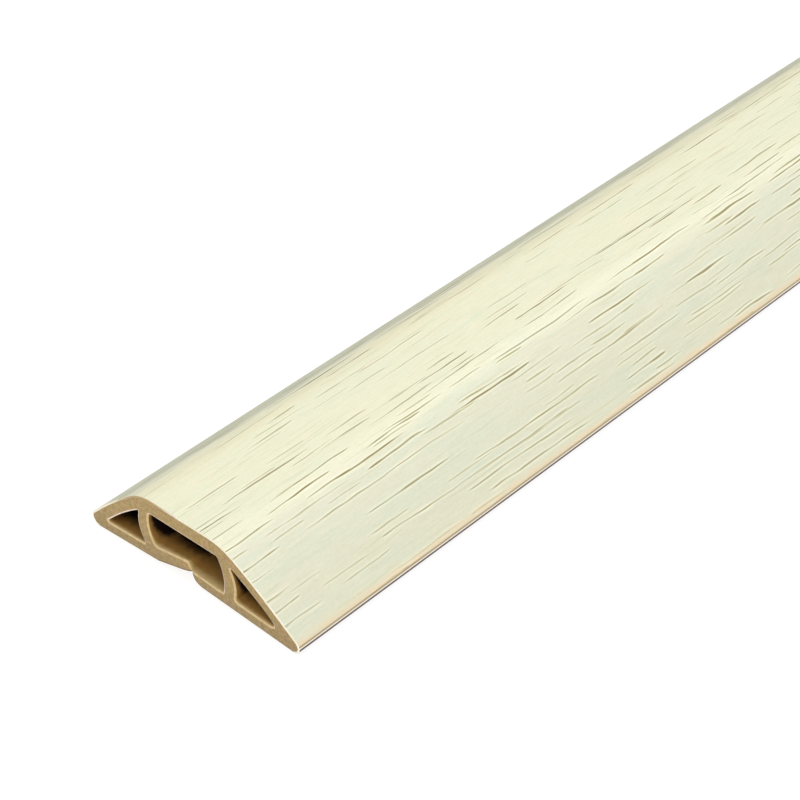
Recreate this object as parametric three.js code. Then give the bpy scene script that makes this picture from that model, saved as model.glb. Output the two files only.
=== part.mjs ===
// Floor cord cover: one length of extruded soft PVC with three ducts and a slit along its base,
// and on its underside two strips of double-sided tape, each with its release liner.
// Millimetres. X is the width, Y the length and Z up, and the origin is the middle of the footprint.
// Sections are drawn looking along +Y, with X to the right and Z up from the level of the noses.

import * as THREE from 'three';

// Outer size
const coverWidth = 40;
const coverHeight = 11;
const coverLength = 1000;

// Outer contour: a flat top between round shoulders, slightly full flanks and blunt noses
const shoulderSpan = 15.3;
const shoulderRound = 2.4;
const flankFullness = 0.65;
const noseRadius = 1.2;

// Walls
const roofWall = 2.5;
const flankWall = 2;
const baseWall = 1.9;
const webWall = 2.2;

// The two webs between the ducts: the distance between their middles, and how far they bow outwards
const webSpan = 15.2;
const webBow = 0.5;

// Rounds in the ducts: at their square corners, and at the two sharp ones of a side duct.
// The right side duct runs out in a blunter tip than the left one.
const ductCornerRound = 0.45;
const sharpCornerRound = 0.7;
const rightTipRound = 2.2;

// Base: it rises from both noses to the slit, which lies a little right of the middle.
// Both lips are rounded underneath, up to the flat side that each turns to the other.
const baseRise = 1;
const slitPlace = 0.55;
const slitGap = 0.1;
const lipRoundWidth = 1.85;
const rightLipSide = 0.6;
const leftLipSide = 1.5;

// The left half of the base stands up, as a soft lip does that has been opened and rests on the
// other one: how far at the slit, how far at the web's foot in the duct, and how its side leans
const leftLipLift = 1.35;
const leftFootLift = 0.7;
const leftLipLean = 0.4;

// Tape strips and their liners, laid short of the cut ends
const tapeWidth = 15;
const tapeThickness = 0.3;
const linerThickness = 0.1;
const stripEndMargin = 2;

// Steps in each round stretch
const cornerSteps = 4;
const shoulderSteps = 6;
const flankSteps = 8;
const noseSteps = 5;
const webSteps = 6;
const lipSteps = 6;

// Two points closer than this are one
const samePoint = 1e-6;

const ceilingHeight = coverHeight - roofWall;
const webInnerFace = (webSpan - webWall) / 2;
const webOuterFace = (webSpan + webWall) / 2;
const noseCentre = new THREE.Vector2(coverWidth / 2 - noseRadius, noseRadius);
const lipStart = slitPlace + slitGap / 2 + lipRoundWidth;

// A tape strip lies in the middle of the straight part of its half of the base
const tapeMiddle = (noseCentre.x + lipStart) / 2;
const tapeOuterEdge = tapeMiddle + tapeWidth / 2;
const tapeInnerEdge = tapeMiddle - tapeWidth / 2;

const point = (x, z) => new THREE.Vector2(x, z);

// The height of the right half of the base at x, below and above
const undersideAt = (x) => baseRise * (1 - x / noseCentre.x);
const floorAt = (x) => undersideAt(x) + baseWall;

// Each half's lip, drawn for the right half: where its side begins and ends, and how high it is.
// The left lip reaches past the middle, so there its places are less than zero.
const rightLip = { toe: slitPlace + slitGap / 2, edge: slitPlace + slitGap / 2, side: rightLipSide };
const leftToe = slitGap / 2 - slitPlace;
const leftLip = { toe: leftToe, edge: leftToe + leftLipLean, side: leftLipSide };

// How far the noses stand off the floor, because the liners reach lower
const standHeight = Math.max(0, tapeThickness + linerThickness - undersideAt(tapeOuterEdge));

// The point at a distance from one point towards another
function towards(from, to, distance) {
  return to.clone().sub(from).setLength(distance).add(from);
}

// Where the line through a and b meets the line through c and d
function crossing([a, b], [c, d]) {
  const along = b.clone().sub(a);
  const other = d.clone().sub(c);
  const share = c.clone().sub(a).cross(other) / along.cross(other);
  return along.multiplyScalar(share).add(a);
}

// The line from a to b, moved to its right by a distance
function movedRight(a, b, distance) {
  const along = b.clone().sub(a).normalize();
  const shift = point(along.y, -along.x).multiplyScalar(distance);
  return [a.clone().add(shift), b.clone().add(shift)];
}

// The points of a quadratic curve, both ends included. It bows by half as much as its pull does.
function bend(start, pull, end, steps) {
  return new THREE.QuadraticBezierCurve(start, pull, end).getPoints(steps);
}

// The round of a duct's corner, between the edges that leave it towards two other points
function ductCorner(before, corner, after, round = ductCornerRound) {
  const start = towards(corner, before, round);
  const end = towards(corner, after, round);
  return bend(start, corner, end, cornerSteps);
}

// Joins stretches of points into one line, with one point where two stretches meet
function joined(...stretches) {
  const points = stretches.flat();
  return points.filter((p, i) => i === 0 || p.distanceTo(points[i - 1]) > samePoint);
}

const mirrored = (points) => points.map((p) => point(-p.x, p.y)).reverse();

// Raises the left half of the base between the web and the slit
function lifted(points) {
  return points.map((p) => {
    const share = Math.max(0, 1 + p.x / webInnerFace);
    return point(p.x, p.y + leftLipLift * share);
  });
}

// Where the line from a point above the flank touches the round of the nose
function noseTouch(from) {
  const arm = from.clone().sub(noseCentre);
  const angle = arm.angle() - Math.acos(noseRadius / arm.length());
  const touch = point(Math.cos(angle), Math.sin(angle)).multiplyScalar(noseRadius).add(noseCentre);
  return { angle, touch };
}

// The corners that pull the outer contour: the shoulder, and the one that makes the flank full
const shoulder = point(shoulderSpan / 2, coverHeight);
const plainTouch = noseTouch(shoulder).touch;
const flankOutward = point(shoulder.y - plainTouch.y, plainTouch.x - shoulder.x).normalize();
const flankPull = shoulder.clone().lerp(plainTouch, 0.5).addScaledVector(flankOutward, flankFullness);
const nose = noseTouch(flankPull);

// A stretch of the right nose's round, clockwise from one angle to another
function noseRound(from, to) {
  const { x, y } = noseCentre;
  return new THREE.EllipseCurve(x, y, noseRadius, noseRadius, from, to, true).getPoints(noseSteps);
}

// From the middle of the top to the underside of the right nose, with a point at its outermost place
function outerContour() {
  const roundStart = towards(shoulder, point(0, coverHeight), shoulderRound);
  const roundEnd = towards(shoulder, flankPull, shoulderRound);
  const outermost = 0;
  const lowest = -Math.PI / 2;
  return joined(
    bend(roundStart, shoulder, roundEnd, shoulderSteps),
    bend(roundEnd, flankPull, nose.touch, flankSteps),
    noseRound(nose.angle, outermost),
    noseRound(outermost, lowest),
  );
}

// One half of the base, from its nose along the underside and round the lip to the duct's floor.
// It is drawn for the right half. Where the half is bent, the bend is a corner of the underside.
function baseContour({ toe, edge, side }, bends) {
  const straight = [...bends, lipStart].map((x) => point(x, undersideAt(x)));
  const lipPull = point(toe, undersideAt(toe));
  const lipTop = point(toe, floorAt(toe) - side);
  const floorEnd = point(edge, floorAt(edge));
  return joined(straight, bend(straight.at(-1), lipPull, lipTop, lipSteps), [floorEnd]);
}

// One half of the middle duct above its floor, drawn for the right half: the web's foot, which may
// be lifted, the web's face and the ceiling
function ductContour(footLift) {
  const foot = point(webInnerFace, floorAt(webInnerFace) + footLift);
  const head = point(webInnerFace, ceilingHeight);
  const pull = point(webInnerFace + 2 * webBow, (foot.y + head.y) / 2);
  const footRound = ductCorner(point(0, floorAt(0) + footLift), foot, pull);
  const headRound = ductCorner(pull, head, point(0, ceilingHeight));
  return joined(footRound, bend(footRound.at(-1), pull, headRound[0], webSteps), headRound);
}

// A side duct between the web, the flank and the base, drawn for the right half.
// It is a hole in the section, so it runs the other way round than the outside does.
function sideDuct(tipSize) {
  const innerFlankTop = movedRight(shoulder, flankPull, flankWall);
  const innerFlankLow = movedRight(flankPull, nose.touch, flankWall);
  const innerPull = crossing(innerFlankTop, innerFlankLow);
  const webLine = [point(webOuterFace, 0), point(webOuterFace, coverHeight)];
  const floorLine = [point(0, floorAt(0)), point(noseCentre.x, floorAt(noseCentre.x))];
  const head = crossing(innerFlankTop, webLine);
  const tip = crossing(innerFlankLow, floorLine);
  const foot = point(webOuterFace, floorAt(webOuterFace));
  const webPull = point(webOuterFace + 2 * webBow, (foot.y + head.y) / 2);
  const headRound = ductCorner(webPull, head, innerPull, sharpCornerRound);
  const tipRound = ductCorner(innerPull, tip, foot, tipSize);
  const footRound = ductCorner(tip, foot, webPull);
  return joined(
    headRound,
    bend(headRound.at(-1), innerPull, tipRound[0], flankSteps),
    tipRound,
    footRound,
    bend(footRound.at(-1), webPull, headRound[0], webSteps).slice(0, -1),
  ).reverse();
}

// The whole section: once round the outside, in through the slit and round the middle duct
function coverSection() {
  const outside = outerContour();
  const section = new THREE.Shape(joined(
    outside,
    baseContour(rightLip, []),
    ductContour(0),
    mirrored(ductContour(leftFootLift)),
    lifted(mirrored(baseContour(leftLip, [webInnerFace]))),
    mirrored(outside),
  ));
  const ducts = [sideDuct(rightTipRound), mirrored(sideDuct(sharpCornerRound))];
  section.holes.push(...ducts.map((duct) => new THREE.Path(duct)));
  return section;
}

// A band along one half's underside, drawn for the right half, from a depth below it downwards
function stripBand(depth, thickness, bends) {
  const stations = [tapeOuterEdge, ...bends, tapeInnerEdge];
  const top = stations.map((x) => point(x, undersideAt(x) - depth));
  const bottom = top.map((p) => point(p.x, p.y - thickness)).reverse();
  return [...top, ...bottom];
}

function extruded(name, section, length, material) {
  const geometry = new THREE.ExtrudeGeometry(section, { depth: length, bevelEnabled: false });
  const mesh = new THREE.Mesh(geometry, material);
  mesh.name = name;
  mesh.position.z = (coverLength - length) / 2;
  return mesh;
}

function strip(name, points, material) {
  return extruded(name, new THREE.Shape(points), coverLength - 2 * stripEndMargin, material);
}

const coverPvc = new THREE.MeshStandardMaterial({ color: 0xefecd3, roughness: 0.42, metalness: 0 });
const tapeAdhesive = new THREE.MeshStandardMaterial({ color: 0xe6e6de, roughness: 0.3, metalness: 0 });
const linerFilm = new THREE.MeshStandardMaterial({ color: 0xa80f10, roughness: 0.22, metalness: 0 });

// The sections lie in their own XY plane: turned up by a quarter turn, their depth runs along -Y
const cordCover = new THREE.Group();
cordCover.rotation.x = Math.PI / 2;
cordCover.position.set(0, coverLength / 2, standHeight);
cordCover.add(extruded('cover_extrusion', coverSection(), coverLength, coverPvc));

const layers = [
  { name: 'tape', depth: 0, thickness: tapeThickness, material: tapeAdhesive },
  { name: 'release_liner', depth: tapeThickness, thickness: linerThickness, material: linerFilm },
];
for (const { name, depth, thickness, material } of layers) {
  const right = stripBand(depth, thickness, []);
  const left = lifted(mirrored(stripBand(depth, thickness, [webInnerFace])));
  cordCover.add(strip(`${name}_right`, right, material), strip(`${name}_left`, left, material));
}

const floorCordCover = new THREE.Group();
floorCordCover.add(cordCover);

export default floorCordCover;
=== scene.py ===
"""The looks of a floor cord cover with printed wood grain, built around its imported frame.

The part's sizes are in millimetres. Its sections are drawn looking along +Y, with X to the right and
Z up from the noses. The studio is in metres, in the frame's own axes.
"""

import math
import random
from typing import NamedTuple

import bmesh
import bpy
from mathutils import Matrix, Vector
from mathutils.geometry import tessellate_polygon


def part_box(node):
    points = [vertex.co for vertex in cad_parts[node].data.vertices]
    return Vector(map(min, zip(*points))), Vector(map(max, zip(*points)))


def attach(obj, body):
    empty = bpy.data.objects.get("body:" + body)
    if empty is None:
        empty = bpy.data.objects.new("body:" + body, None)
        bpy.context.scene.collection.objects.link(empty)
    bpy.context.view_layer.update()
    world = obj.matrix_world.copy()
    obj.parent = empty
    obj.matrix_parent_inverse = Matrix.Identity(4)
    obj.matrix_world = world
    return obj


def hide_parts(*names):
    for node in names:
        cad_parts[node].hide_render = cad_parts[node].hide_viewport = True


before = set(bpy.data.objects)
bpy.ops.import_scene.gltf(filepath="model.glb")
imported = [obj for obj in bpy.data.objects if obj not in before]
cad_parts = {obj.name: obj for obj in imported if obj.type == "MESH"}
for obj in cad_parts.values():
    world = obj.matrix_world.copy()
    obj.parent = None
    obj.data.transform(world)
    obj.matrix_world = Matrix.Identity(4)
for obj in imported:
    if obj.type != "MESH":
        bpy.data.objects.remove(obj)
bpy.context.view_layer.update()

MM = 0.001

# The cover's outer size and how high it stands, from its node
COVER_LOW, COVER_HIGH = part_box("cover_extrusion")
COVER_WIDTH = (COVER_HIGH.x - COVER_LOW.x) / MM
COVER_HEIGHT = (COVER_HIGH.z - COVER_LOW.z) / MM
COVER_LENGTH = (COVER_HIGH.y - COVER_LOW.y) / MM
STAND_HEIGHT = COVER_LOW.z / MM

# Outer contour
SHOULDER_SPAN = 15.3
SHOULDER_ROUND = 2.4
FLANK_FULLNESS = 0.65
NOSE_RADIUS = 1.2

# Walls
ROOF_WALL = 2.5
FLANK_WALL = 2.0
BASE_WALL = 1.9
WEB_WALL = 2.2
WEB_SPAN = 15.2
WEB_BOW = 0.5

# Rounds in the ducts
DUCT_CORNER_ROUND = 0.45
SHARP_CORNER_ROUND = 0.7
RIGHT_TIP_ROUND = 2.2

# Base and slit, and how the left half of the base stands up. The lips all but touch.
BASE_RISE = 1.0
SLIT_PLACE = 0.55
SLIT_GAP = 0.004
LIP_ROUND_WIDTH = 1.85
RIGHT_LIP_SIDE = 0.6
LEFT_LIP_SIDE = 1.5
LEFT_LIP_LIFT = 1.35
LEFT_FOOT_LIFT = 0.7
LEFT_LIP_LEAN = 0.4

# Tape strips and liners
TAPE_WIDTH = 15.0
TAPE_THICKNESS = 0.3
LINER_THICKNESS = 0.1
STRIP_END_MARGIN = 2.0

# The printed film as it shows on the cut ends, and how wide the softened edge of the cut is: along
# the film, along the base, and round the ducts' mouths along their ceilings and along their floors
FILM_THICKNESS = 0.2
CUT_EDGE = 0.07
BRINK_WIDTH = 0.3
BURR_WIDTH = 0.18
SILL_WIDTH = 0.36

# Steps in each round stretch, and the distance between the stations along the length
CORNER_STEPS = 5
SHOULDER_STEPS = 14
FLANK_STEPS = 20
NOSE_STEPS = 9
WEB_STEPS = 10
LIP_STEPS = 10
STATION_STEP = 20.0

# Where the film ends round a nose, from the middle of the top, and the stretches before it: where it
# thins out, where it is brown from stretching, where its pale rim begins, and then the bare core,
# painted dark with shade
FILM_END = 23.58
THINNING = (22.0, 22.9)
STRETCHED = (FILM_END - 0.52, FILM_END - 0.4)
RIM = (FILM_END - 0.2, FILM_END - 0.12)
BARE = (FILM_END, FILM_END + 0.06)

# About how high the floor of the ducts lies over the ground
DUCT_FLOOR = 3.0

# Two points closer than this are one
SAME_POINT = 1e-5

# The cover's finishes, in the order of its material slots
FILM, CORE, EDGE, BRINK, DUCT, BURR, SILL = range(7)

# The charts of the long surfaces on the bake maps: their two corners, and how many columns the
# surface is folded into
FILM_CHART = (0.0, 0.24), (1.0, 1.0), 2
CORE_CHART = (0.0, 0.11), (1.0, 0.23), 1
STRIP_LOWER_CHART = (0.0, 0.2), (1.0, 1.0), 4
STRIP_UPPER_CHART = (0.0, 0.03), (1.0, 0.19), 1

# The space left free beside each column, as a share of its width
BAKE_GAP = 0.008

# The cut ends on the cover's bake map: where the near one and the far one begin, how wide each is,
# how far both are from the lower edge, and how tall a millimetre is
CAP_LEFT = (0.01, 0.51)
CAP_WIDE = 0.47
CAP_LOW = 0.002
CAP_TALL = 0.0088

CEILING_HEIGHT = COVER_HEIGHT - ROOF_WALL
WEB_INNER_FACE = (WEB_SPAN - WEB_WALL) / 2
WEB_OUTER_FACE = (WEB_SPAN + WEB_WALL) / 2
NOSE_CENTRE = Vector((COVER_WIDTH / 2 - NOSE_RADIUS, NOSE_RADIUS))
RIGHT_TOE = SLIT_PLACE + SLIT_GAP / 2
LEFT_TOE = SLIT_GAP / 2 - SLIT_PLACE
LIP_START = RIGHT_TOE + LIP_ROUND_WIDTH
TAPE_MIDDLE = (NOSE_CENTRE.x + LIP_START) / 2


# Section geometry


def point(x, z):
    return Vector((x, z))


def underside_at(x):
    return BASE_RISE * (1 - x / NOSE_CENTRE.x)


def floor_at(x):
    return underside_at(x) + BASE_WALL


def towards(start, end, distance):
    return start + (end - start).normalized() * distance


def crossing(line, other):
    along = line[1] - line[0]
    across = other[1] - other[0]
    share = (other[0] - line[0]).cross(across) / along.cross(across)
    return line[0] + along * share


def moved_right(start, end, distance):
    along = (end - start).normalized()
    shift = point(along.y, -along.x) * distance
    return start + shift, end + shift


def bend(start, pull, end, steps):
    """The points of a quadratic curve, both ends included."""
    shares = [step / steps for step in range(steps + 1)]
    return [start * (1 - s) ** 2 + pull * (2 * s * (1 - s)) + end * s**2 for s in shares]


def duct_corner(before, corner, after, size=DUCT_CORNER_ROUND):
    start = towards(corner, before, size)
    end = towards(corner, after, size)
    return bend(start, corner, end, CORNER_STEPS)


def joined(*stretches):
    """One line of points from several, with one point where two stretches meet."""
    points = []
    for p in (p for stretch in stretches for p in stretch):
        if not points or (p - points[-1]).length > SAME_POINT:
            points.append(p)
    return points


def mirrored(points):
    return [point(-p.x, p.y) for p in reversed(points)]


def lifted(points):
    """Raises the left half of the base between the web and the slit."""
    return [point(p.x, p.y + LEFT_LIP_LIFT * max(0, 1 + p.x / WEB_INNER_FACE)) for p in points]


def nose_touch(start):
    """Where the line from a point above the flank touches the round of the nose."""
    arm = start - NOSE_CENTRE
    angle = math.atan2(arm.y, arm.x) - math.acos(NOSE_RADIUS / arm.length)
    return angle, NOSE_CENTRE + point(math.cos(angle), math.sin(angle)) * NOSE_RADIUS


def flank_corners():
    """The corner that pulls the shoulder, the one that makes the flank full, and the nose's touch."""
    shoulder = point(SHOULDER_SPAN / 2, COVER_HEIGHT)
    plain = nose_touch(shoulder)[1]
    outward = point(shoulder.y - plain.y, plain.x - shoulder.x).normalized()
    pull = shoulder.lerp(plain, 0.5) + outward * FLANK_FULLNESS
    return shoulder, pull, nose_touch(pull)


def nose_round(start, end):
    """A stretch of the right nose's round, clockwise from one angle to another."""
    angles = [start + (end - start) * step / NOSE_STEPS for step in range(NOSE_STEPS + 1)]
    return [NOSE_CENTRE + point(math.cos(a), math.sin(a)) * NOSE_RADIUS for a in angles]


def outer_contour():
    """From the middle of the top to the underside of the right nose."""
    shoulder, pull, (nose_angle, touch) = flank_corners()
    round_start = towards(shoulder, point(0, COVER_HEIGHT), SHOULDER_ROUND)
    round_end = towards(shoulder, pull, SHOULDER_ROUND)
    return joined(
        [point(0, COVER_HEIGHT)],
        bend(round_start, shoulder, round_end, SHOULDER_STEPS),
        bend(round_end, pull, touch, FLANK_STEPS),
        nose_round(nose_angle, 0),
        nose_round(0, -math.pi / 2),
    )


def base_contour(toe, edge, side, bends):
    """One half of the base, from its nose along the underside and round the lip to the duct's floor."""
    straight = [point(x, underside_at(x)) for x in [*bends, LIP_START]]
    lip_pull = point(toe, underside_at(toe))
    lip_top = point(toe, floor_at(toe) - side)
    floor_end = point(edge, floor_at(edge))
    return joined(straight, bend(straight[-1], lip_pull, lip_top, LIP_STEPS), [floor_end])


def duct_contour(foot_lift):
    """One half of the middle duct above its floor, drawn for the right half."""
    foot = point(WEB_INNER_FACE, floor_at(WEB_INNER_FACE) + foot_lift)
    head = point(WEB_INNER_FACE, CEILING_HEIGHT)
    pull = point(WEB_INNER_FACE + 2 * WEB_BOW, (foot.y + head.y) / 2)
    foot_round = duct_corner(point(0, floor_at(0) + foot_lift), foot, pull)
    head_round = duct_corner(pull, head, point(0, CEILING_HEIGHT))
    return joined(foot_round, bend(foot_round[-1], pull, head_round[0], WEB_STEPS), head_round)


def side_duct(tip_size):
    """A side duct, between the web, the flank and the base, drawn for the right half."""
    shoulder, pull, (_, touch) = flank_corners()
    flank_top = moved_right(shoulder, pull, FLANK_WALL)
    flank_low = moved_right(pull, touch, FLANK_WALL)
    inner_pull = crossing(flank_top, flank_low)
    web_line = (point(WEB_OUTER_FACE, 0), point(WEB_OUTER_FACE, COVER_HEIGHT))
    floor_line = (point(0, floor_at(0)), point(NOSE_CENTRE.x, floor_at(NOSE_CENTRE.x)))
    head = crossing(flank_top, web_line)
    tip = crossing(flank_low, floor_line)
    foot = point(WEB_OUTER_FACE, floor_at(WEB_OUTER_FACE))
    web_pull = point(WEB_OUTER_FACE + 2 * WEB_BOW, (foot.y + head.y) / 2)
    head_round = duct_corner(web_pull, head, inner_pull, SHARP_CORNER_ROUND)
    tip_round = duct_corner(inner_pull, tip, foot, tip_size)
    foot_round = duct_corner(tip, foot, web_pull)
    points = joined(
        head_round,
        bend(head_round[-1], inner_pull, tip_round[0], FLANK_STEPS),
        tip_round,
        foot_round,
        bend(foot_round[-1], web_pull, head_round[0], WEB_STEPS)[:-1],
    )
    return list(reversed(points))


def finished_ring(stretches):
    """A closed ring from stretches of points, and the finish of each of its edges."""
    points, finishes = [], []
    for stretch, finish in stretches:
        for p in stretch:
            if points and (p - points[-1]).length <= SAME_POINT:
                continue
            if points:
                finishes.append(finish)
            points.append(p)
    return points, [*finishes, stretches[-1][1]]


def cover_rings():
    """The section's outside, once round from the middle of the top, and its two side ducts, each
    with the finishes of its edges."""
    outside = outer_contour()
    left_outside = mirrored(outside)
    right_base = base_contour(RIGHT_TOE, RIGHT_TOE, RIGHT_LIP_SIDE, [])
    left_lip = base_contour(LEFT_TOE, LEFT_TOE + LEFT_LIP_LEAN, LEFT_LIP_SIDE, [WEB_INNER_FACE])
    left_base = lifted(mirrored(left_lip))
    duct = duct_contour(0) + mirrored(duct_contour(LEFT_FOOT_LIFT))
    stretches = [
        (outside, FILM),
        (right_base, CORE),
        ([*duct, *left_base[:2]], DUCT),
        ([*left_base[1:], left_outside[0]], CORE),
        (left_outside[:-1], FILM),
    ]
    side_ducts = [side_duct(RIGHT_TIP_ROUND), mirrored(side_duct(SHARP_CORNER_ROUND))]
    return [finished_ring(stretches), *((ring, [DUCT] * len(ring)) for ring in side_ducts)]


def inset(ring, depths):
    """The ring moved into the material, which is on its right, by a depth for each point."""
    moved = []
    for i, (here, depth) in enumerate(zip(ring, depths)):
        arriving = (here - ring[i - 1]).normalized()
        leaving = (ring[(i + 1) % len(ring)] - here).normalized()
        sideways = point(arriving.y + leaving.y, -arriving.x - leaving.x).normalized()
        stretch = max(sideways.dot(point(arriving.y, -arriving.x)), 0.5)
        moved.append(here + sideways * (depth / stretch))
    return moved


def lengths_along(ring):
    """How far round the ring each point lies, with the whole way round as a last number."""
    total, found = 0.0, []
    for here, after in zip(ring, ring[1:] + ring[:1]):
        found.append(total)
        total += (after - here).length
    return found + [total]


# Mesh making


def stations(length):
    """Places along the length, from the near end to the far one."""
    count = round(length / STATION_STEP)
    return [-length / 2 + length * step / count for step in range(count + 1)]


class Builder:
    """A mesh under construction, with a map of real lengths for the materials and one for baking."""

    def __init__(self):
        self.bm = bmesh.new()
        self.lay = self.bm.loops.layers.uv.new("lay")
        self.bake = self.bm.loops.layers.uv.new("OFBake")

    def vertex(self, p, y):
        return self.bm.verts.new((p.x * MM, y * MM, (p.y + STAND_HEIGHT) * MM))

    def face(self, vertices, lays, bakes, slot, smooth=True):
        made = self.bm.faces.new(vertices)
        made.material_index = slot
        made.smooth = smooth
        for loop, lay, bake in zip(made.loops, lays, bakes):
            loop[self.lay].uv = lay
            loop[self.bake].uv = bake
        return made

    def finished(self, name, materials, sharp_angle=math.radians(32)):
        bmesh.ops.recalc_face_normals(self.bm, faces=self.bm.faces)
        mesh = bpy.data.meshes.new(name)
        self.bm.to_mesh(mesh)
        self.bm.free()
        for material in materials:
            mesh.materials.append(material)
        mesh.set_sharp_from_angle(angle=sharp_angle)
        made = bpy.data.objects.new(name, mesh)
        bpy.context.scene.collection.objects.link(made)
        return made


class Chart:
    """A place on the bake map for a long surface, which is folded into columns side by side."""

    def __init__(self, low, high, columns, across, length):
        self.low, self.high, self.columns = low, high, columns
        self.across, self.length = across, length

    def place(self, s, y, middle_y):
        """Where a point goes: s across the surface and y along it, for a face whose middle is given."""
        column = min(int((middle_y / self.length + 0.5) * self.columns), self.columns - 1)
        start = self.length * (column / self.columns - 0.5)
        share = (s - self.across[0]) / (self.across[1] - self.across[0])
        width = (self.high[0] - self.low[0]) / self.columns
        u = self.low[0] + width * (column + BAKE_GAP + share * (1 - 2 * BAKE_GAP))
        v = self.low[1] + (y - start) * self.columns / self.length * (self.high[1] - self.low[1])
        return u, v


def cut_finishes(ring, finishes):
    """The finish of the softened edge of the cut, for each edge of a ring. Round a duct's mouth it is
    a burr where the wall faces down or left, and a sill where it faces up or right."""
    found = []
    for i, finish in enumerate(finishes):
        along = ring[(i + 1) % len(ring)] - ring[i]
        duct = SILL if along.x > along.y else BURR
        found.append({FILM: EDGE, CORE: BRINK, DUCT: duct}[finish])
    return found


def cut_widths(edges):
    """How wide the softened edge of the cut is at each point of a ring."""
    widths = {EDGE: CUT_EDGE, BRINK: BRINK_WIDTH, BURR: BURR_WIDTH, SILL: SILL_WIDTH}
    return [(widths[edge] + widths[edges[i - 1]]) / 2 for i, edge in enumerate(edges)]


def build_cover(materials):
    """The extrusion: its long walls, softened cut edges, and cut ends that show the film's edge."""
    rings = cover_rings()
    build = Builder()
    half = COVER_LENGTH / 2
    places = stations(COVER_LENGTH)
    places = [-half + CUT_EDGE, *places[1:-1], half - CUT_EDGE]
    grids = [[[build.vertex(p, y) for p in ring] for y in places] for ring, _ in rings]
    build_walls(build, rings, grids, places)
    for side, row in ((-1, 0), (1, -1)):
        build_cut_end(build, rings, [grid[row] for grid in grids], side)
    return build.finished("cover", materials)


def build_walls(build, rings, grids, places):
    """The long walls of the outside and of each side duct."""
    arcs = [lengths_along(ring) for ring, _ in rings]
    whole = arcs[0][-1]
    film_length = arcs[0][len(outer_contour()) - 1]
    core_length = whole - 2 * film_length + sum(a[-1] for a in arcs[1:])
    film_chart = Chart(*FILM_CHART, (-film_length, film_length), COVER_LENGTH)
    core_chart = Chart(*CORE_CHART, (0.0, core_length), COVER_LENGTH)
    core_used = -film_length
    for number, (ring, finishes) in enumerate(rings):
        for i, finish in enumerate(finishes):
            k = (i + 1) % len(ring)
            # The film's own lengths run from the middle of the top, to the left below zero
            back = whole if number == 0 and i > len(ring) / 2 and finish == FILM else 0.0
            here, after = arcs[number][i] - back, arcs[number][i + 1] - back
            chart, shift = (film_chart, 0.0) if finish == FILM else (core_chart, core_used)
            for j, (y0, y1) in enumerate(zip(places, places[1:])):
                corners = [(here, y0), (after, y0), (after, y1), (here, y1)]
                grid = grids[number]
                vertices = [grid[j][i], grid[j][k], grid[j + 1][k], grid[j + 1][i]]
                lays = [(s * MM, y * MM) for s, y in corners]
                bakes = [chart.place(s + shift, y, (y0 + y1) / 2) for s, y in corners]
                build.face(vertices, lays, bakes, finish)
        core_used += whole - film_length if number == 0 else arcs[number][-1]


def build_cut_end(build, rings, rims, side):
    """A cut end: the softened edges, the film's edge and the flat rest."""
    y = side * COVER_LENGTH / 2
    cap = CapMap(side)
    edges = [cut_finishes(ring, finishes) for ring, finishes in rings]
    flat_rings = [inset(ring, cut_widths(own)) for (ring, _), own in zip(rings, edges)]
    flat = [[build.vertex(p, y) for p in ring] for ring in flat_rings]
    for (ring, _), own, flat_ring, rim, flat_rim in zip(rings, edges, flat_rings, rims, flat):
        for i, finish in enumerate(own):
            k = (i + 1) % len(ring)
            lays, bakes = cap.maps([ring[i], ring[k], flat_ring[k], flat_ring[i]])
            build.face([rim[i], rim[k], flat_rim[k], flat_rim[i]], lays, bakes, finish)

    inner_ring, inner = build_film_edge(build, cap, rings[0], flat_rings[0], flat[0], y)
    outlines = [inner_ring, *flat_rings[1:]]
    corners = [*inner, *flat[1], *flat[2]]
    all_points = [p for outline in outlines for p in outline]
    for triangle in tessellate_polygon([[p.to_3d() for p in outline] for outline in outlines]):
        lays, bakes = cap.maps([all_points[i] for i in triangle])
        build.face([corners[i] for i in triangle], lays, bakes, CORE, smooth=False)


def build_film_edge(build, cap, outside, flat_ring, flat, y):
    """The film's edge on a cut end, which runs out at both noses. Returns the outline inside it, as
    points and as vertices."""
    around, finishes = outside
    under_film = inset(around, [CUT_EDGE + FILM_THICKNESS] * len(around))
    inner_ring, inner = list(flat_ring), list(flat)
    for i, finish in enumerate(finishes):
        if finish == FILM and finishes[i - 1] == FILM:
            inner_ring[i] = under_film[i]
            inner[i] = build.vertex(under_film[i], y)
    for i, finish in enumerate(finishes):
        if finish != FILM:
            continue
        k = (i + 1) % len(around)
        vertices, points = [flat[i], flat[k]], [flat_ring[i], flat_ring[k]]
        for corner in (k, i):
            if inner[corner] is not flat[corner]:
                vertices.append(inner[corner])
                points.append(inner_ring[corner])
        lays, bakes = cap.maps(points)
        build.face(vertices, lays, bakes, EDGE, smooth=False)
    return inner_ring, inner


class CapMap:
    """The maps of a cut end, which is laid out flat."""

    def __init__(self, side):
        left = CAP_LEFT[0] if side < 0 else CAP_LEFT[1]
        self.scale = CAP_WIDE / COVER_WIDTH
        self.middle = left + COVER_WIDTH / 2 * self.scale

    def maps(self, points):
        lays = [(p.x * MM, p.y * MM) for p in points]
        return lays, [(self.middle + p.x * self.scale, CAP_LOW + p.y * CAP_TALL) for p in points]


# Materials


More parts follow.
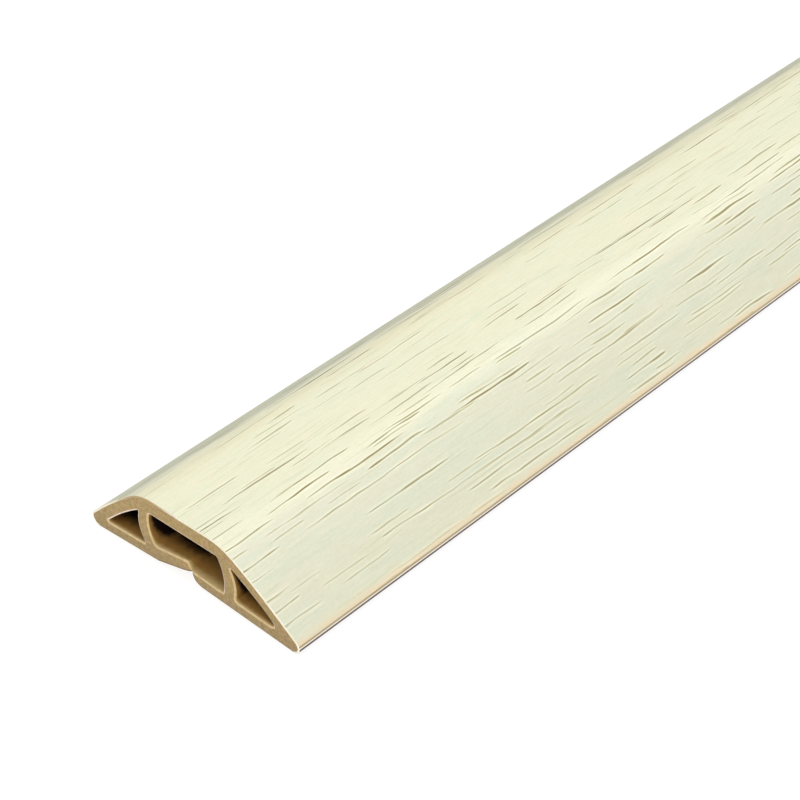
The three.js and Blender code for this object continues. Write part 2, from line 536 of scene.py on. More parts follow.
class Graph:
    """Makes the nodes of one material. An input may be a socket or a plain number."""

    def __init__(self, name):
        self.material = bpy.data.materials.new(name)
        self.material.use_nodes = True
        self.tree = self.material.node_tree
        self.shader = self.tree.nodes["Principled BSDF"]

    def node(self, kind, **settings):
        made = self.tree.nodes.new(kind)
        for name, value in settings.items():
            setattr(made, name, value)
        return made

    def feed(self, socket, value):
        if isinstance(value, bpy.types.NodeSocket):
            self.tree.links.new(value, socket)
        else:
            socket.default_value = value

    def math(self, operation, *values, clamp=False):
        made = self.node("ShaderNodeMath", operation=operation, use_clamp=clamp)
        for socket, value in zip(made.inputs, values):
            self.feed(socket, value)
        return made.outputs[0]

    def plus(self, first, second):
        return self.math("ADD", first, second)

    def minus(self, first, second):
        return self.math("SUBTRACT", first, second)

    def times(self, first, second):
        return self.math("MULTIPLY", first, second)

    def magnitude(self, value):
        return self.math("ABSOLUTE", value)

    def centred(self, value, span):
        """A value from 0 to 1 turned into one that many wide, with zero in its middle."""
        return self.times(self.minus(value, 0.5), span)

    def square_off(self, value):
        """1 at zero, falling to 0 at one either way."""
        return self.math("SUBTRACT", 1.0, self.times(value, value), clamp=True)

    def spread(self, value, low, high, start=0.0, end=1.0, smooth=False):
        """The value taken from low..high to start..end, and held at both ends."""
        kind = "SMOOTHSTEP" if smooth else "LINEAR"
        made = self.node("ShaderNodeMapRange", interpolation_type=kind)
        for socket, number in zip(made.inputs, (value, low, high, start, end)):
            self.feed(socket, number)
        return made.outputs[0]

    def blend(self, share, first, second, mode="MIX"):
        made = self.node("ShaderNodeMix", data_type="RGBA", blend_type=mode)
        self.feed(made.inputs[0], share)
        self.feed(made.inputs[6], first)
        self.feed(made.inputs[7], second)
        return made.outputs[2]

    def tint(self, share, colour, tint):
        """The colour multiplied by a tint, as much as the share says."""
        return self.blend(share, colour, tint, "MULTIPLY")

    def vector(self, x, y, z=0.0):
        made = self.node("ShaderNodeCombineXYZ")
        for socket, value in zip(made.inputs, (x, y, z)):
            self.feed(socket, value)
        return made.outputs[0]

    def parts(self, vector):
        made = self.node("ShaderNodeSeparateXYZ")
        self.tree.links.new(vector, made.inputs[0])
        return made.outputs[0], made.outputs[1], made.outputs[2]

    def noise(self, place, scale, detail=2.0, roughness=0.5):
        made = self.node("ShaderNodeTexNoise")
        self.feed(made.inputs["Vector"], place)
        made.inputs["Scale"].default_value = scale
        made.inputs["Detail"].default_value = detail
        made.inputs["Roughness"].default_value = roughness
        return made.outputs["Fac"]

    def long_noise(self, across, along, across_scale, along_scale, detail=2.0, roughness=0.5):
        """Noise with a scale of its own across the surface and another one along it."""
        place = self.vector(self.times(across, across_scale), self.times(along, along_scale))
        return self.noise(place, 1.0, detail, roughness)

    def draws(self, place):
        """Three numbers from 0 to 1, drawn for each whole place."""
        made = self.node("ShaderNodeTexWhiteNoise", noise_dimensions="3D")
        self.feed(made.inputs["Vector"], place)
        parts = self.node("ShaderNodeSeparateColor")
        self.tree.links.new(made.outputs["Color"], parts.inputs[0])
        return parts.outputs[0], parts.outputs[1], parts.outputs[2]

    def lay(self):
        """Millimetres across and along the surface, from its own map."""
        across, along, _ = self.parts(self.node("ShaderNodeUVMap", uv_map="lay").outputs[0])
        return self.math("DIVIDE", across, MM), self.math("DIVIDE", along, MM)

    def place(self):
        """The point in millimetres."""
        made = self.node("ShaderNodeTexCoord")
        scaled = self.node("ShaderNodeVectorMath", operation="SCALE")
        self.tree.links.new(made.outputs["Object"], scaled.inputs[0])
        scaled.inputs["Scale"].default_value = 1 / MM
        return scaled.outputs[0]

    def surface(self, colour, roughness, specular=0.5):
        self.feed(self.shader.inputs["Base Color"], colour)
        self.feed(self.shader.inputs["Roughness"], roughness)
        self.shader.inputs["Specular IOR Level"].default_value = specular

    def bump(self, height, depth, strength):
        """Relief of the surface, with its depth in millimetres."""
        made = self.node("ShaderNodeBump")
        made.inputs["Strength"].default_value = strength
        made.inputs["Distance"].default_value = depth * MM
        self.feed(made.inputs["Height"], height)
        self.tree.links.new(made.outputs[0], self.shader.inputs["Normal"])


def srgb(red, green, blue):
    """A colour given as it looks, from 0 to 255, as the numbers that light is worked out with."""
    shares = [c / 255 for c in (red, green, blue)]
    return (*(s / 12.92 if s <= 0.04045 else ((s + 0.055) / 1.055) ** 2.4 for s in shares), 1.0)


# The printed film


class LineLayer(NamedTuple):
    """One layer of grain lines, in millimetres. The film is laid out in lanes, and each lane in cells
    that hold one line or none. The shares say how many cells hold one, on the top and on the sides.
    """

    lane: float
    cell: float
    half_lengths: tuple
    half_widths: tuple
    shares: tuple
    seed: float


BOLD_LINES = LineLayer(
    lane=1.6,
    cell=23.0,
    half_lengths=(4.4, 11.2),
    half_widths=(0.105, 0.148),
    shares=(0.5, 0.78),
    seed=3.0,
)
MEDIUM_LINES = LineLayer(
    lane=1.3,
    cell=17.0,
    half_lengths=(2.8, 8.2),
    half_widths=(0.085, 0.118),
    shares=(0.55, 0.75),
    seed=11.0,
)
FAINT_LINES = LineLayer(
    lane=0.9,
    cell=21.0,
    half_lengths=(3.0, 9.5),
    half_widths=(0.04, 0.09),
    shares=(0.55, 0.55),
    seed=23.0,
)

# How much lines differ: how far their middles spread across a lane, as a share of it, how steeply
# they cross the grain, and how far off their own middles they are thickest
LINE_OFFSET = 0.6
LINE_TILT = 0.03
LINE_SKEW = 0.9

# How many times as wide a line is where its strokes run out and where they overlap, and the power
# that it thins out with towards its tips
LINE_SWELL = (0.65, 1.05)
LINE_THINNING = 0.42

# Half the width of a line's soft border, how far beyond the line its pale edge is at its strongest,
# and how much further it is gone and begins to fade
LINE_BORDER = 0.07
HALO_START = 0.05
HALO_FADE = (0.36, 0.04)

# How far the grain wanders from side to side: slowly, and more quickly
SLOW_WANDER = 1.7
QUICK_WANDER = 0.75

# Lines are sparser and fainter on the top than on its sides: where the sparse stretch has its middle,
# and at which distances from there the sides begin and are reached
SPARSE_MIDDLE = -3.0
SPARSE_REACH = (3.5, 8.0)

# How strong the lines are on the top, and on the right flank, from one distance to another
TOP_STRENGTH = 0.78
FAR_RIGHT = (9.0, 12.0)
FAR_RIGHT_STRENGTH = 0.78

# How strong the lines' pale edges are on the top and on the right flank, and between where
HALO_REACH = (7.0, 11.0)
HALO_STRENGTHS = (0.5, 0.34)

# How strong the lesser lines are beside the bold ones, and the medium ones' depth and pale edges
MEDIUM_STRENGTH = 0.9
FAINT_STRENGTH = 0.4
MEDIUM_DEPTH = 0.6

# The film's ground
CREAM = srgb(246, 243, 215)
PALE_GREEN = srgb(241, 242, 216)
WARM_FIBRES = srgb(249, 242, 215)
COOL_FIBRES = srgb(235, 236, 208)
FIBRE_TINT = srgb(240, 241, 235)
TOOTH_TINT = srgb(243, 245, 239)

# Painted light and shade on the ground, each with the distances to the right of the top's middle
# between which it sets in, and whether smoothly. The first two are painted shade that deepens the right
# flank, and the last one is painted light that makes the film a little lighter and warmer past the left
# shoulder.
SIDE_LIGHT_AND_SHADE_TINTS = [
    ((5.0, 11.0), True, srgb(230, 231, 235)),
    ((10.0, 19.0), False, srgb(247, 247, 245)),
    ((-5.2, -7.2), True, srgb(262, 259, 254)),
]

# Painted shade on the left flank, over its lines too
LEFT_FLANK = (-8.8, -12.6)
LEFT_FLANK_SHADE = srgb(209, 213, 203)

# The lines
HALO_COLOUR = srgb(255, 252, 226)
FAINT_COLOUR = srgb(190, 182, 132)
MEDIUM_COLOUR = srgb(152, 143, 88)
BOLD_COLOUR = srgb(127, 114, 54)

# The film's end round a nose
THIN_COLOUR = srgb(222, 201, 166)
STRETCHED_COLOUR = srgb(142, 124, 88)
RIM_COLOUR = srgb(240, 232, 216)
BARE_CORE_SHADE = srgb(72, 52, 42)


def streaks(g, grain, along, sides, layer):
    """Thin lines along the grain. Returns how dark a line is, and how strong the pale edge along it."""
    row_place = g.math("DIVIDE", grain, layer.lane)
    row = g.math("FLOOR", row_place)
    shift, _, _ = g.draws(g.vector(row, layer.seed, 0.5))
    cell_place = g.plus(g.math("DIVIDE", along, layer.cell), g.times(shift, 7.0))
    column = g.math("FLOOR", cell_place)
    chance, size, forward = g.draws(g.vector(row, column, layer.seed + 0.25))
    tilt, sideways, boldness = g.draws(g.vector(row, column, layer.seed + 0.75))

    # Where the point is from the line's middle, along the line and beside it
    half_length = g.spread(g.math("POWER", size, 1.5), 0, 1, *layer.half_lengths)
    room = g.minus(layer.cell / 2, half_length)
    moved = g.times(g.centred(forward, 2.0), room)
    ahead = g.minus(g.centred(g.math("FRACT", cell_place), layer.cell), moved)
    share_along = g.math("DIVIDE", ahead, half_length)
    in_lane = g.centred(g.math("FRACT", row_place), layer.lane)
    aside = g.minus(in_lane, g.centred(sideways, layer.lane * LINE_OFFSET))
    beside = g.minus(aside, g.times(g.centred(tilt, LINE_TILT), ahead))

    # The line is thickest off its middle, thins out to both tips, and swells as short strokes overlap
    skew = g.times(g.centred(tilt, LINE_SKEW), g.square_off(share_along))
    taper = g.square_off(g.plus(share_along, skew))
    strokes = g.long_noise(grain, along, 0.6, 0.16, detail=1.0)
    swell = g.spread(strokes, 0.36, 0.62, *LINE_SWELL, smooth=True)
    thickest = g.spread(boldness, 0, 1, *layer.half_widths)
    half_width = g.times(g.times(thickest, g.math("POWER", taper, LINE_THINNING)), swell)
    within = g.minus(half_width, g.magnitude(beside))
    inside = g.spread(within, -LINE_BORDER, LINE_BORDER, smooth=True)

    # It is darker where it is bolder, and fades at its tips and where a stroke runs out
    there = g.math("LESS_THAN", chance, g.spread(sides, 0, 1, *layer.shares))
    dark = g.times(g.spread(boldness, 0, 1, 0.6, 1.0), g.spread(taper, 0.0, 0.4, smooth=True))
    strength = g.times(g.times(there, dark), g.spread(strokes, 0.3, 0.5, 0.65, 1.0))
    beyond = g.minus(-HALO_START, within)
    halo_inside = g.spread(beyond, -HALO_START, 0.0)
    halo_outside = g.spread(beyond, *HALO_FADE, smooth=True)
    return g.times(inside, strength), g.times(g.times(halo_inside, halo_outside), strength)


def wandering_grain(g, across, along):
    """The distance across the film, made to wander a little from side to side along it."""
    slow = g.long_noise(across, along, 0.04, 0.012)
    quick = g.long_noise(across, along, 0.25, 0.11)
    return g.plus(across, g.plus(g.centred(slow, SLOW_WANDER), g.centred(quick, QUICK_WANDER)))


def film_ground(g, across, along, grain):
    """Soft lengthwise patches of cream, pale green and peach, with fine fibres and a faint tooth.
    Returns the colour, and the finer patches for the relief."""
    broad = g.long_noise(grain, along, 0.3, 0.035, detail=3.0, roughness=0.6)
    fine = g.long_noise(grain, along, 1.5, 0.09, detail=3.0, roughness=0.6)
    colour = g.blend(g.spread(broad, 0.36, 0.66, smooth=True), CREAM, PALE_GREEN)
    colour = g.blend(g.spread(fine, 0.5, 0.72, 0.0, 0.7, smooth=True), colour, WARM_FIBRES)
    colour = g.blend(g.spread(fine, 0.5, 0.28, 0.0, 0.7, smooth=True), colour, COOL_FIBRES)
    # Painted shade on the right flank, and painted light past the left shoulder
    for (start, end), smooth, tint in SIDE_LIGHT_AND_SHADE_TINTS:
        colour = g.tint(g.spread(across, start, end, smooth=smooth), colour, tint)

    fibre = g.long_noise(grain, along, 4.5, 0.3, detail=2.0)
    tooth = g.long_noise(across, along, 3.2, 1.8, detail=2.0, roughness=0.7)
    colour = g.tint(g.spread(fibre, 0.35, 0.65, 0.0, 0.4), colour, FIBRE_TINT)
    colour = g.tint(g.spread(tooth, 0.32, 0.68, 0.0, 0.6), colour, TOOTH_TINT)
    return colour, fine


def grain_lines(g, colour, across, along, grain):
    """The brown lines with their pale edges. Returns the colour, and the lines for the relief."""
    sides = g.spread(g.magnitude(g.minus(across, SPARSE_MIDDLE)), *SPARSE_REACH, smooth=True)
    bold, bold_halo = streaks(g, grain, along, sides, BOLD_LINES)
    medium, medium_halo = streaks(g, grain, along, sides, MEDIUM_LINES)
    faint, _ = streaks(g, grain, along, sides, FAINT_LINES)

    on_top = g.spread(sides, 0, 1, TOP_STRENGTH, 1.0)
    weight = g.times(on_top, g.spread(across, *FAR_RIGHT, 1.0, FAR_RIGHT_STRENGTH))
    halo_share = g.spread(across, *HALO_REACH, *HALO_STRENGTHS)
    halo = g.math("ADD", bold_halo, g.times(medium_halo, MEDIUM_DEPTH), clamp=True)
    colour = g.blend(g.times(halo, halo_share), colour, HALO_COLOUR)
    colour = g.blend(g.times(faint, FAINT_STRENGTH), colour, FAINT_COLOUR)
    colour = g.blend(g.times(g.times(medium, MEDIUM_STRENGTH), weight), colour, MEDIUM_COLOUR)
    colour = g.blend(g.times(bold, weight), colour, BOLD_COLOUR)
    return colour, g.math("MAXIMUM", bold, g.times(medium, MEDIUM_DEPTH))


def film_ends(g, colour, across, along):
    """Round the noses the film is drawn thin and the core shows through, up to a brown line and the
    film's pale cut edge, and then comes the bare core, painted dark with shade."""
    from_middle = g.magnitude(across)
    patchy = g.centred(g.long_noise(0.0, along, 0.0, 0.06, detail=3.0), 1.0)
    thin = g.spread(g.plus(from_middle, patchy), *THINNING, smooth=True)
    speckle = g.long_noise(across, along, 2.4, 0.4, detail=3.0)
    showing = g.times(thin, g.spread(speckle, 0.36, 0.6, 0.3, 0.9))
    colour = g.blend(showing, colour, THIN_COLOUR)
    colour = g.blend(g.times(g.spread(from_middle, *STRETCHED), 0.75), colour, STRETCHED_COLOUR)
    colour = g.blend(g.spread(from_middle, *RIM), colour, RIM_COLOUR)
    # The bare core beyond the film, painted dark with shade
    return g.blend(g.spread(from_middle, *BARE), colour, BARE_CORE_SHADE)


def film_material():
    """The printed film: cream, with soft bands and brown grain lines along the length."""
    g = Graph("printed_film")
    across, along = g.lay()
    grain = wandering_grain(g, across, along)
    colour, fine = film_ground(g, across, along, grain)
    colour, pores = grain_lines(g, colour, across, along, grain)
    # Painted shade over the left flank
    colour = g.tint(g.spread(across, *LEFT_FLANK, smooth=True), colour, LEFT_FLANK_SHADE)
    colour = film_ends(g, colour, across, along)
    g.surface(colour, g.spread(pores, 0, 1, 0.4, 0.6), specular=0.3)
    g.bump(g.minus(g.times(fine, 0.25), pores), depth=0.03, strength=0.4)
    return g.material


# The core and its cut edges

# How fast the painted shade in the ducts deepens inwards, at their floor and at a height over it, and
# how many times faster on the webs, from just before them, and in the side ducts
SHADE_HEIGHT = 5.0
SHADE_SPEEDS = (0.75, 5.0)
SHADE_ON_WEB = 1.35
WEB_CORNER = 0.35
SHADE_IN_SIDE_DUCT = 1.85

# The smear on the film's cut edge: how far from the left shoulder it begins to fade and is gone, and
# by how much that differs from place to place
SMEAR_REACH = (2.0, 8.0)
SMEAR_UNEVENNESS = 5.0

CORE_PINKISH = srgb(197, 161, 108)
CORE_GREENISH = srgb(186, 160, 94)
CORE_BROWN = srgb(156, 130, 80)
CORE_LOW_SHADE = srgb(230, 230, 238)
DUCT_MOUTH_LIGHT = srgb(230, 203, 146)
DUCT_SHADE = srgb(154, 110, 48)
DUCT_DEEP_SHADE = srgb(22, 9, 6)
# The pale burr, with a painted highlight on it
BURR_AND_HIGHLIGHT_COLOURS = srgb(255, 238, 224), srgb(238, 212, 184)
# The sill's painted highlight
SILL_HIGHLIGHT_COLOURS = srgb(226, 199, 142), srgb(208, 178, 122)
EDGE_COLOURS = srgb(255, 251, 230), srgb(248, 236, 204)
EDGE_SMEAR = srgb(190, 160, 108)
BRINK_TINT = srgb(216, 218, 224)


def core_colour(g):
    """Tan soft PVC, with faint pinkish and greenish patches, and painted shade towards the base.
    Returns the finer patches too.
    """
    place = g.place()
    coarse = g.noise(place, scale=0.8, detail=3.0, roughness=0.6)
    fine = g.noise(place, scale=1.9, detail=3.0, roughness=0.7)
    colour = g.blend(g.spread(coarse, 0.42, 0.58), CORE_PINKISH, CORE_GREENISH)
    colour = g.blend(g.spread(fine, 0.4, 0.6, 0.0, 0.8), colour, CORE_BROWN)
    _, _, height = g.parts(place)
    # Painted shade, darker towards the base
    return g.tint(g.spread(height, 5.0, 1.5, 0.0, 0.8), colour, CORE_LOW_SHADE), fine


def core_material():
    """The extruded core, as the cut ends and the underside show it."""
    g = Graph("core_pvc")
    colour, fine = core_colour(g)
    g.surface(colour, g.spread(fine, 0.3, 0.7, 0.5, 0.62), specular=0.3)
    g.bump(fine, depth=0.04, strength=0.5)
    return g.material


def duct_material():
    """The ducts' walls: the same core, with painted light at the mouth and painted shade that darkens
    it from the mouth inwards. The painted shade darkens sooner high up, on the webs and in the side
    ducts."""
    g = Graph("duct_wall")
    colour, fine = core_colour(g)
    _, along = g.lay()
    depth = g.minus(COVER_LENGTH / 2, g.magnitude(along))
    to_right, _, height = g.parts(g.place())
    aside = g.magnitude(to_right)
    by_height = g.spread(height, DUCT_FLOOR, DUCT_FLOOR + SHADE_HEIGHT, *SHADE_SPEEDS)
    on_web = g.spread(aside, WEB_INNER_FACE - WEB_CORNER, WEB_INNER_FACE, 1.0, SHADE_ON_WEB)
    in_side_duct = g.spread(aside, WEB_INNER_FACE, WEB_OUTER_FACE, 1.0, SHADE_IN_SIDE_DUCT)
    painted_shade = g.times(depth, g.times(by_height, g.times(on_web, in_side_duct)))
    patches = g.centred(g.noise(g.place(), scale=1.1, detail=3.0, roughness=0.7), 3.0)
    uneven = g.plus(painted_shade, g.times(patches, g.spread(painted_shade, 0.2, 3.0)))
    # Painted light at the mouth, then painted shade deepening into the duct
    colour = g.blend(g.spread(painted_shade, 0.0, 1.0, 0.8, 0.0), colour, DUCT_MOUTH_LIGHT)
    colour = g.blend(g.spread(uneven, 0.3, 1.3, 0.0, 0.85), colour, DUCT_SHADE)
    colour = g.blend(g.spread(uneven, 1.4, 6.0, smooth=True), colour, DUCT_DEEP_SHADE)
    g.surface(colour, roughness=0.62, specular=0.15)
    g.bump(fine, depth=0.06, strength=0.6)
    return g.material


def burr_and_highlight_material():
    """The burr along the upper edges of the ducts' mouths, where the saw stretched the core pale, with
    a painted highlight on it.
    """
    g = Graph("saw_burr_and_highlight")
    fine = g.noise(g.place(), scale=1.3, detail=2.0)
    g.surface(g.blend(g.spread(fine, 0.35, 0.6), *BURR_AND_HIGHLIGHT_COLOURS), roughness=0.5, specular=0.3)
    return g.material


def sill_highlight_material():
    """The lower edges of the ducts' mouths, lighter than the core: a painted highlight along them."""
    g = Graph("painted_sill_highlight")
    fine = g.noise(g.place(), scale=1.3, detail=2.0)
    g.surface(g.blend(g.spread(fine, 0.35, 0.65), *SILL_HIGHLIGHT_COLOURS), roughness=0.45, specular=0.3)
    return g.material


def edge_material():
    """The film's cut edge: pale cream, and smeared with core round the left shoulder."""
    g = Graph("film_edge")
    fine = g.noise(g.place(), scale=1.2, detail=2.0)
    to_right, forward, _ = g.parts(g.place())
    colour = g.blend(g.spread(fine, 0.4, 0.65), *EDGE_COLOURS)
    from_shoulder = g.magnitude(g.plus(to_right, SHOULDER_SPAN / 2))
    uneven = g.plus(from_shoulder, g.centred(fine, SMEAR_UNEVENNESS))
    clean = g.spread(uneven, *SMEAR_REACH, smooth=True)
    on_bevel = g.spread(g.magnitude(forward), COVER_LENGTH / 2, COVER_LENGTH / 2 - CUT_EDGE)
    colour = g.blend(g.math("MAXIMUM", clean, on_bevel), EDGE_SMEAR, colour)
    g.surface(colour, roughness=0.45, specular=0.3)
    return g.material


def brink_material():
    """The lower edges of the cut, rounded off and in their own shade."""
    g = Graph("rounded_brink")
    colour, _ = core_colour(g)
    g.surface(g.tint(1.0, colour, BRINK_TINT), roughness=0.6, specular=0.2)
    return g.material


# The strips under the cover

TAPE_COLOURS = srgb(238, 238, 232), srgb(222, 223, 216)
LINER_COLOURS = srgb(178, 16, 17), srgb(160, 12, 14)
LINER_EDGE = srgb(70, 4, 12)

STRIP_COLUMNS = 12
TAPE_STEP = 20.0
LINER_STEP = 1.25

# Where a liner's dark border begins and is darkest, from its middle
LINER_BORDER = (TAPE_WIDTH / 2 - 0.35, TAPE_WIDTH / 2 - 0.1)

# How far a liner's crease may stand out, and how many of its widths away it still shows
CREASE_ROOM = 0.22
CREASE_REACH = 3.0

# How far the first crease is from the near end, and the last one at least from the far end, how far
# apart the creases are, how wide, and how steeply they slant
FIRST_CREASE = (25, 70)
CREASE_STEPS = (50, 120)
CREASE_WIDTHS = (1.1, 1.6)
CREASE_SLANTS = (0.9, 1.8)

# A strip's thin edges on its bake map: the heights of the inner long edge, the outer one, the near
# end and the far end, how tall each is, where they begin and how far they reach
EDGE_ROWS = (0.002, 0.008, 0.014, 0.02)
EDGE_TALL = 0.004
EDGE_START = 0.02
EDGE_SPAN = 0.9


def tape_material():
    """The tape: a pale, slightly glossy adhesive, a little uneven."""
    g = Graph("tape_adhesive")
    fine = g.noise(g.place(), scale=0.8, detail=3.0)
    colour = g.blend(g.spread(fine, 0.3, 0.7), *TAPE_COLOURS)
    g.surface(colour, g.spread(fine, 0.3, 0.7, 0.28, 0.42), specular=0.45)
    g.bump(fine, depth=0.05, strength=0.4)
    return g.material


def liner_material():
    """The release liner: glossy red film, darker along its cut edges."""
    g = Graph("liner_film")
    across, along = g.lay()
    wave = g.long_noise(across, along, 0.12, 0.05, detail=3.0)
    colour = g.blend(g.spread(wave, 0.35, 0.65), *LINER_COLOURS)
    near_edge = g.spread(g.magnitude(across), *LINER_BORDER)
    colour = g.blend(g.times(near_edge, 0.75), colour, LINER_EDGE)
    g.surface(colour, g.spread(wave, 0.3, 0.7, 0.16, 0.26), specular=0.6)
    g.bump(wave, depth=0.35, strength=0.35)
    return g.material


def crease_places(seed):
    """The creases of one liner: where each crosses its middle, how it slants, and how wide it is."""
    draw = random.Random(seed)
    y = draw.uniform(*FIRST_CREASE) - COVER_LENGTH / 2
    found = []
    while y < COVER_LENGTH / 2 - FIRST_CREASE[0]:
        slant = draw.choice((-1, 1, 1)) * draw.uniform(*CREASE_SLANTS)
        found.append((y, slant, draw.uniform(*CREASE_WIDTHS)))
        y += draw.uniform(*CREASE_STEPS)
    return found


def crease_height(s, y, creases):
    """How far a place bulges, from 0 to 1: sharp ridges that cross the strip at a slant."""
    distances = [(y - centre - slant * s) / width for centre, slant, width in creases]
    return max(math.exp(-d * d) if abs(d) < CREASE_REACH else 0.0 for d in distances)


def strip_station(x, depth, left):
    """The place of a strip's face under the cover, a depth below the base."""
    here = point(x, underside_at(x) - depth)
    return lifted([point(-here.x, here.y)])[0] if left else here


def build_strip(name, left, depth, thickness, step, creases, material):
    """A tape or liner: a long thin band, whose lower face is creased where the liner has slack."""
    build = Builder()
    length = COVER_LENGTH - 2 * STRIP_END_MARGIN
    across = [TAPE_WIDTH * (column / STRIP_COLUMNS - 0.5) for column in range(STRIP_COLUMNS + 1)]
    count = round(length / step)
    along = [length * (row / count - 0.5) for row in range(count + 1)]

    def vertex(s, y, below):
        p = strip_station(TAPE_MIDDLE + s, depth + (thickness if below else 0), left)
        if below and creases:
            room = min(p.y + STAND_HEIGHT, CREASE_ROOM)
            p = point(p.x, p.y - room * crease_height(s, y, creases))
        return build.vertex(p, y)

    top = [[vertex(s, y, False) for s in across] for y in along]
    bottom = [[vertex(s, y, True) for s in across] for y in along]
    lower = Chart(*STRIP_LOWER_CHART, (-TAPE_WIDTH / 2, TAPE_WIDTH / 2), length)
    upper = Chart(*STRIP_UPPER_CHART, (-TAPE_WIDTH / 2, TAPE_WIDTH / 2), length)
    for j in range(count):
        middle = (along[j] + along[j + 1]) / 2
        for i in range(STRIP_COLUMNS):
            cell = ((i, j), (i + 1, j), (i + 1, j + 1), (i, j + 1))
            corners = [(across[a], along[b]) for a, b in cell]
            lays = [(s * MM, y * MM) for s, y in corners]
            for grid, chart in ((top, upper), (bottom, lower)):
                bakes = [chart.place(s, y, middle) for s, y in corners]
                build.face([grid[b][a] for a, b in cell], lays, bakes, 0)
    build_strip_edges(build, across, along, top, bottom)
    return build.finished(name, [material])


def build_strip_edges(build, across, along, top, bottom):
    """The thin edges of a strip, all the way round."""
    last, count = len(across) - 1, len(along) - 1
    rim = [(i, 0) for i in range(last)] + [(last, j) for j in range(count)]
    rim += [(last - i, count) for i in range(last)] + [(0, count - j) for j in range(count)]
    for (i, j), (k, m) in zip(rim, rim[1:] + rim[:1]):
        if j == m:
            row = EDGE_ROWS[2] if j == 0 else EDGE_ROWS[3]
            shares = [across[a] / TAPE_WIDTH + 0.5 for a in (i, k)]
        else:
            row = EDGE_ROWS[0] if i == 0 else EDGE_ROWS[1]
            shares = [b / count for b in (j, m)]
        start, end = (EDGE_START + EDGE_SPAN * share for share in shares)
        here, after = [(across[a] * MM, along[b] * MM) for a, b in ((i, j), (k, m))]
        bakes = [(start, row), (end, row), (end, row + EDGE_TALL), (start, row + EDGE_TALL)]
        vertices = [top[j][i], top[m][k], bottom[m][k], bottom[j][i]]
        build.face(vertices, [here, after, after, here], bakes, 0)


# The studio, in metres

# The camera at the photo's viewing angle: its place, how far it is turned to the left, looks down
# and is rolled, in degrees, its lens and sensor in millimetres, and how far it sees in metres
CAMERA_PLACE = (0.168030, -0.608943, 0.171185)
CAMERA_TURN = 48.8486
CAMERA_DOWN = 36.3195
CAMERA_ROLL = -6.6067
CAMERA_LENS = 93.6118
CAMERA_SENSOR = 36
CAMERA_REACH = 60

# Where the lights point
LIT_PLACE = (0, -0.3, 0)

# The sky is brightest in one direction. What of that direction counts as dim and bright, and how
# strong the sky is there
SKY_DIRECTION = (0.6, 0.1, 0.8)
SKY_SPREAD = (-0.3, 1.0)
SKY_STRENGTH = (0.05, 1.11)

FLOOR_REACH = 14.0
FLOOR_GREY = srgb(130, 130, 130)
FLOOR_GLOW = 0.86


def photo_camera():
    turned, down, roll = (math.radians(a) for a in (CAMERA_TURN, CAMERA_DOWN, CAMERA_ROLL))
    forward = Vector(
        (-math.sin(turned) * math.cos(down), math.cos(turned) * math.cos(down), -math.sin(down))
    )
    level = forward.cross(Vector((0, 0, 1))).normalized()
    upright = level.cross(forward)
    right = level * math.cos(roll) + upright * math.sin(roll)
    up = right.cross(forward)
    data = bpy.data.cameras.new("camera")
    data.lens = CAMERA_LENS
    data.sensor_width = CAMERA_SENSOR
    data.clip_end = CAMERA_REACH
    camera = bpy.data.objects.new("camera", data)
    turn = Matrix((right, up, -forward)).transposed().to_4x4()
    camera.matrix_world = Matrix.Translation(CAMERA_PLACE) @ turn
    bpy.context.scene.collection.objects.link(camera)
    bpy.context.scene.camera = camera


def area_light(name, place, size, power):
    data = bpy.data.lights.new(name, "AREA")
    data.shape = "SQUARE"
    data.size = size
    data.energy = power
    light = bpy.data.objects.new(name, data)
    light.location = place
    towards_place = Vector(LIT_PLACE) - Vector(place)
    light.rotation_euler = towards_place.to_track_quat("-Z", "Y").to_euler()
    bpy.context.scene.collection.objects.link(light)


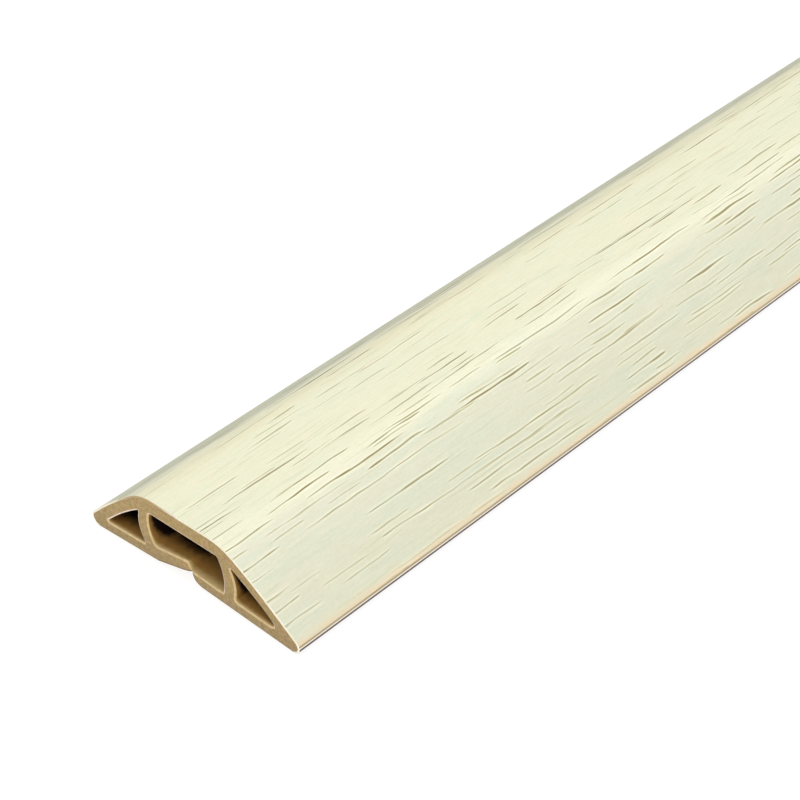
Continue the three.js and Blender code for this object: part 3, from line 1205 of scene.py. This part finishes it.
def sky():
    """A soft white sky, brightest overhead and to the right, and dim low on the left."""
    world = bpy.data.worlds.new("studio")
    world.use_nodes = True
    tree = world.node_tree
    direction = tree.nodes.new("ShaderNodeTexCoord").outputs["Generated"]
    along_light = tree.nodes.new("ShaderNodeVectorMath")
    along_light.operation = "DOT_PRODUCT"
    along_light.inputs[1].default_value = Vector(SKY_DIRECTION).normalized()
    tree.links.new(direction, along_light.inputs[0])
    strength = tree.nodes.new("ShaderNodeMapRange")
    for socket, value in zip(list(strength.inputs)[1:5], (*SKY_SPREAD, *SKY_STRENGTH)):
        socket.default_value = value
    tree.links.new(along_light.outputs["Value"], strength.inputs["Value"])
    background = tree.nodes["Background"]
    background.inputs["Color"].default_value = (1, 1, 1, 1)
    tree.links.new(strength.outputs[0], background.inputs["Strength"])
    return world


def floor_material():
    """A floor that glows white, so that only the closest shadows show on it."""
    g = Graph("studio_floor")
    g.surface(FLOOR_GREY, roughness=0.9, specular=0.0)
    g.shader.inputs["Emission Color"].default_value = (1, 1, 1, 1)
    g.shader.inputs["Emission Strength"].default_value = FLOOR_GLOW
    return g.material


def studio():
    scene = bpy.context.scene
    scene.view_settings.view_transform = "Standard"
    scene.world = sky()
    area_light("key", place=(0.55, -0.9, 1.1), size=0.9, power=5.5)
    area_light("shoulder_light", place=(-0.33, 0.5, 1.3), size=0.3, power=2.9)

    corners = [(x * FLOOR_REACH, y * FLOOR_REACH, 0) for x, y in ((-1, -1), (1, -1), (1, 1), (-1, 1))]
    mesh = bpy.data.meshes.new("studio_floor")
    mesh.from_pydata(corners, [], [(0, 1, 2, 3)])
    mesh.materials.append(floor_material())
    floor = bpy.data.objects.new("studio_floor", mesh)
    scene.collection.objects.link(floor)


# The part

# What each liner's creases are drawn from
LINER_SEEDS = {"right": 5, "left": 8}


def dress_cover():
    looks = [film_material(), core_material(), edge_material(), brink_material(), duct_material()]
    cover = build_cover([*looks, burr_and_highlight_material(), sill_highlight_material()])
    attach(cover, "root")
    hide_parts("cover_extrusion")


def dress_strips():
    tape, liner = tape_material(), liner_material()
    for side, left in (("right", False), ("left", True)):
        folds = crease_places(LINER_SEEDS[side])
        layers = [
            ("tape", 0.0, TAPE_THICKNESS, TAPE_STEP, [], tape, "tape_adhesive"),
            ("release_liner", TAPE_THICKNESS, LINER_THICKNESS, LINER_STEP, folds, liner, "liner_film"),
        ]
        for name, depth, thickness, step, creases, material, slot in layers:
            piece = build_strip(f"{name}_{side}_strip", left, depth, thickness, step, creases, material)
            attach(piece, "root")
            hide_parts(f"{name}_{side}")


photo_camera()
dress_cover()
dress_strips()
studio()
